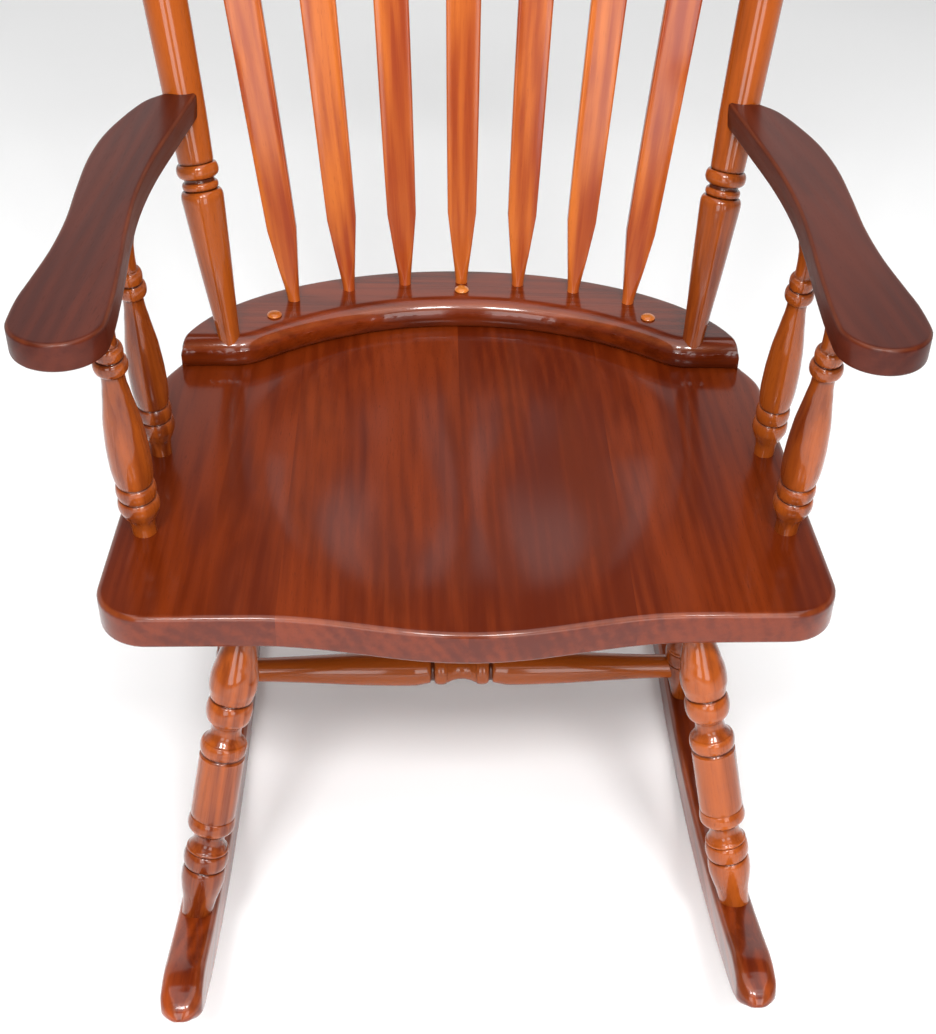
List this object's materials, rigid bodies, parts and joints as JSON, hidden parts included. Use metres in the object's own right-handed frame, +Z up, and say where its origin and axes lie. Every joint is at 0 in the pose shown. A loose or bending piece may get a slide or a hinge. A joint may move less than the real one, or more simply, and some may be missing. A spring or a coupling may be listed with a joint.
{
  "type": "rocking chair",
  "caption": "Wooden rocking chair with a scooped seat, arrow-shaped back spindles, shaped arms, turned legs and curved rockers.",
  "frame": {"origin": "on the floor, midway between the points where the two rockers touch it with the seat level", "axes": "+Z up, +Y towards the back of the chair, +X to the right as seen from the front"},
  "size_m": [0.611, 0.874, 1.0266],
  "materials": {
    "seat_wood": "high-gloss red-brown lacquer over flat-sawn hardwood boards",
    "rail_wood": "high-gloss red-brown lacquer",
    "crest_wood": "high-gloss red-brown lacquer",
    "turned_wood": "high-gloss orange-brown lacquer, darker stain in the grooves",
    "spindle_wood": "high-gloss orange-brown lacquer, straight grain",
    "arm_wood": "high-gloss dark maroon lacquer",
    "rocker_wood": "high-gloss red-brown lacquer, lighter at the front end",
    "button_wood": "high-gloss light orange lacquer",
    "screw_steel": "plain zinc-plated steel"
  },
  "bodies": {
    "root": {"seat_board_1": "seat_wood", "seat_board_2": "seat_wood", "seat_board_3": "seat_wood", "seat_board_4": "seat_wood", "back_rail": "rail_wood", "rail_buttons": "button_wood", "rail_screws": "screw_steel", "back_post_left": "turned_wood", "back_post_right": "turned_wood", "spindle_1": "spindle_wood", "spindle_2": "spindle_wood", "spindle_3": "spindle_wood", "spindle_4": "spindle_wood", "spindle_5": "spindle_wood", "spindle_6": "spindle_wood", "spindle_7": "spindle_wood", "crest_rail": "crest_wood", "arm_left": "arm_wood", "arm_right": "arm_wood", "arm_support_front_left": "turned_wood", "arm_support_front_right": "turned_wood", "arm_support_rear_left": "turned_wood", "arm_support_rear_right": "turned_wood", "arm_screws": "screw_steel", "arm_screw_plugs": "button_wood", "leg_front_left": "turned_wood", "leg_front_right": "turned_wood", "leg_rear_left": "turned_wood", "leg_rear_right": "turned_wood", "rear_stretcher": "turned_wood", "rocker_left": "rocker_wood", "rocker_right": "rocker_wood"}
  },
  "joints": []
}
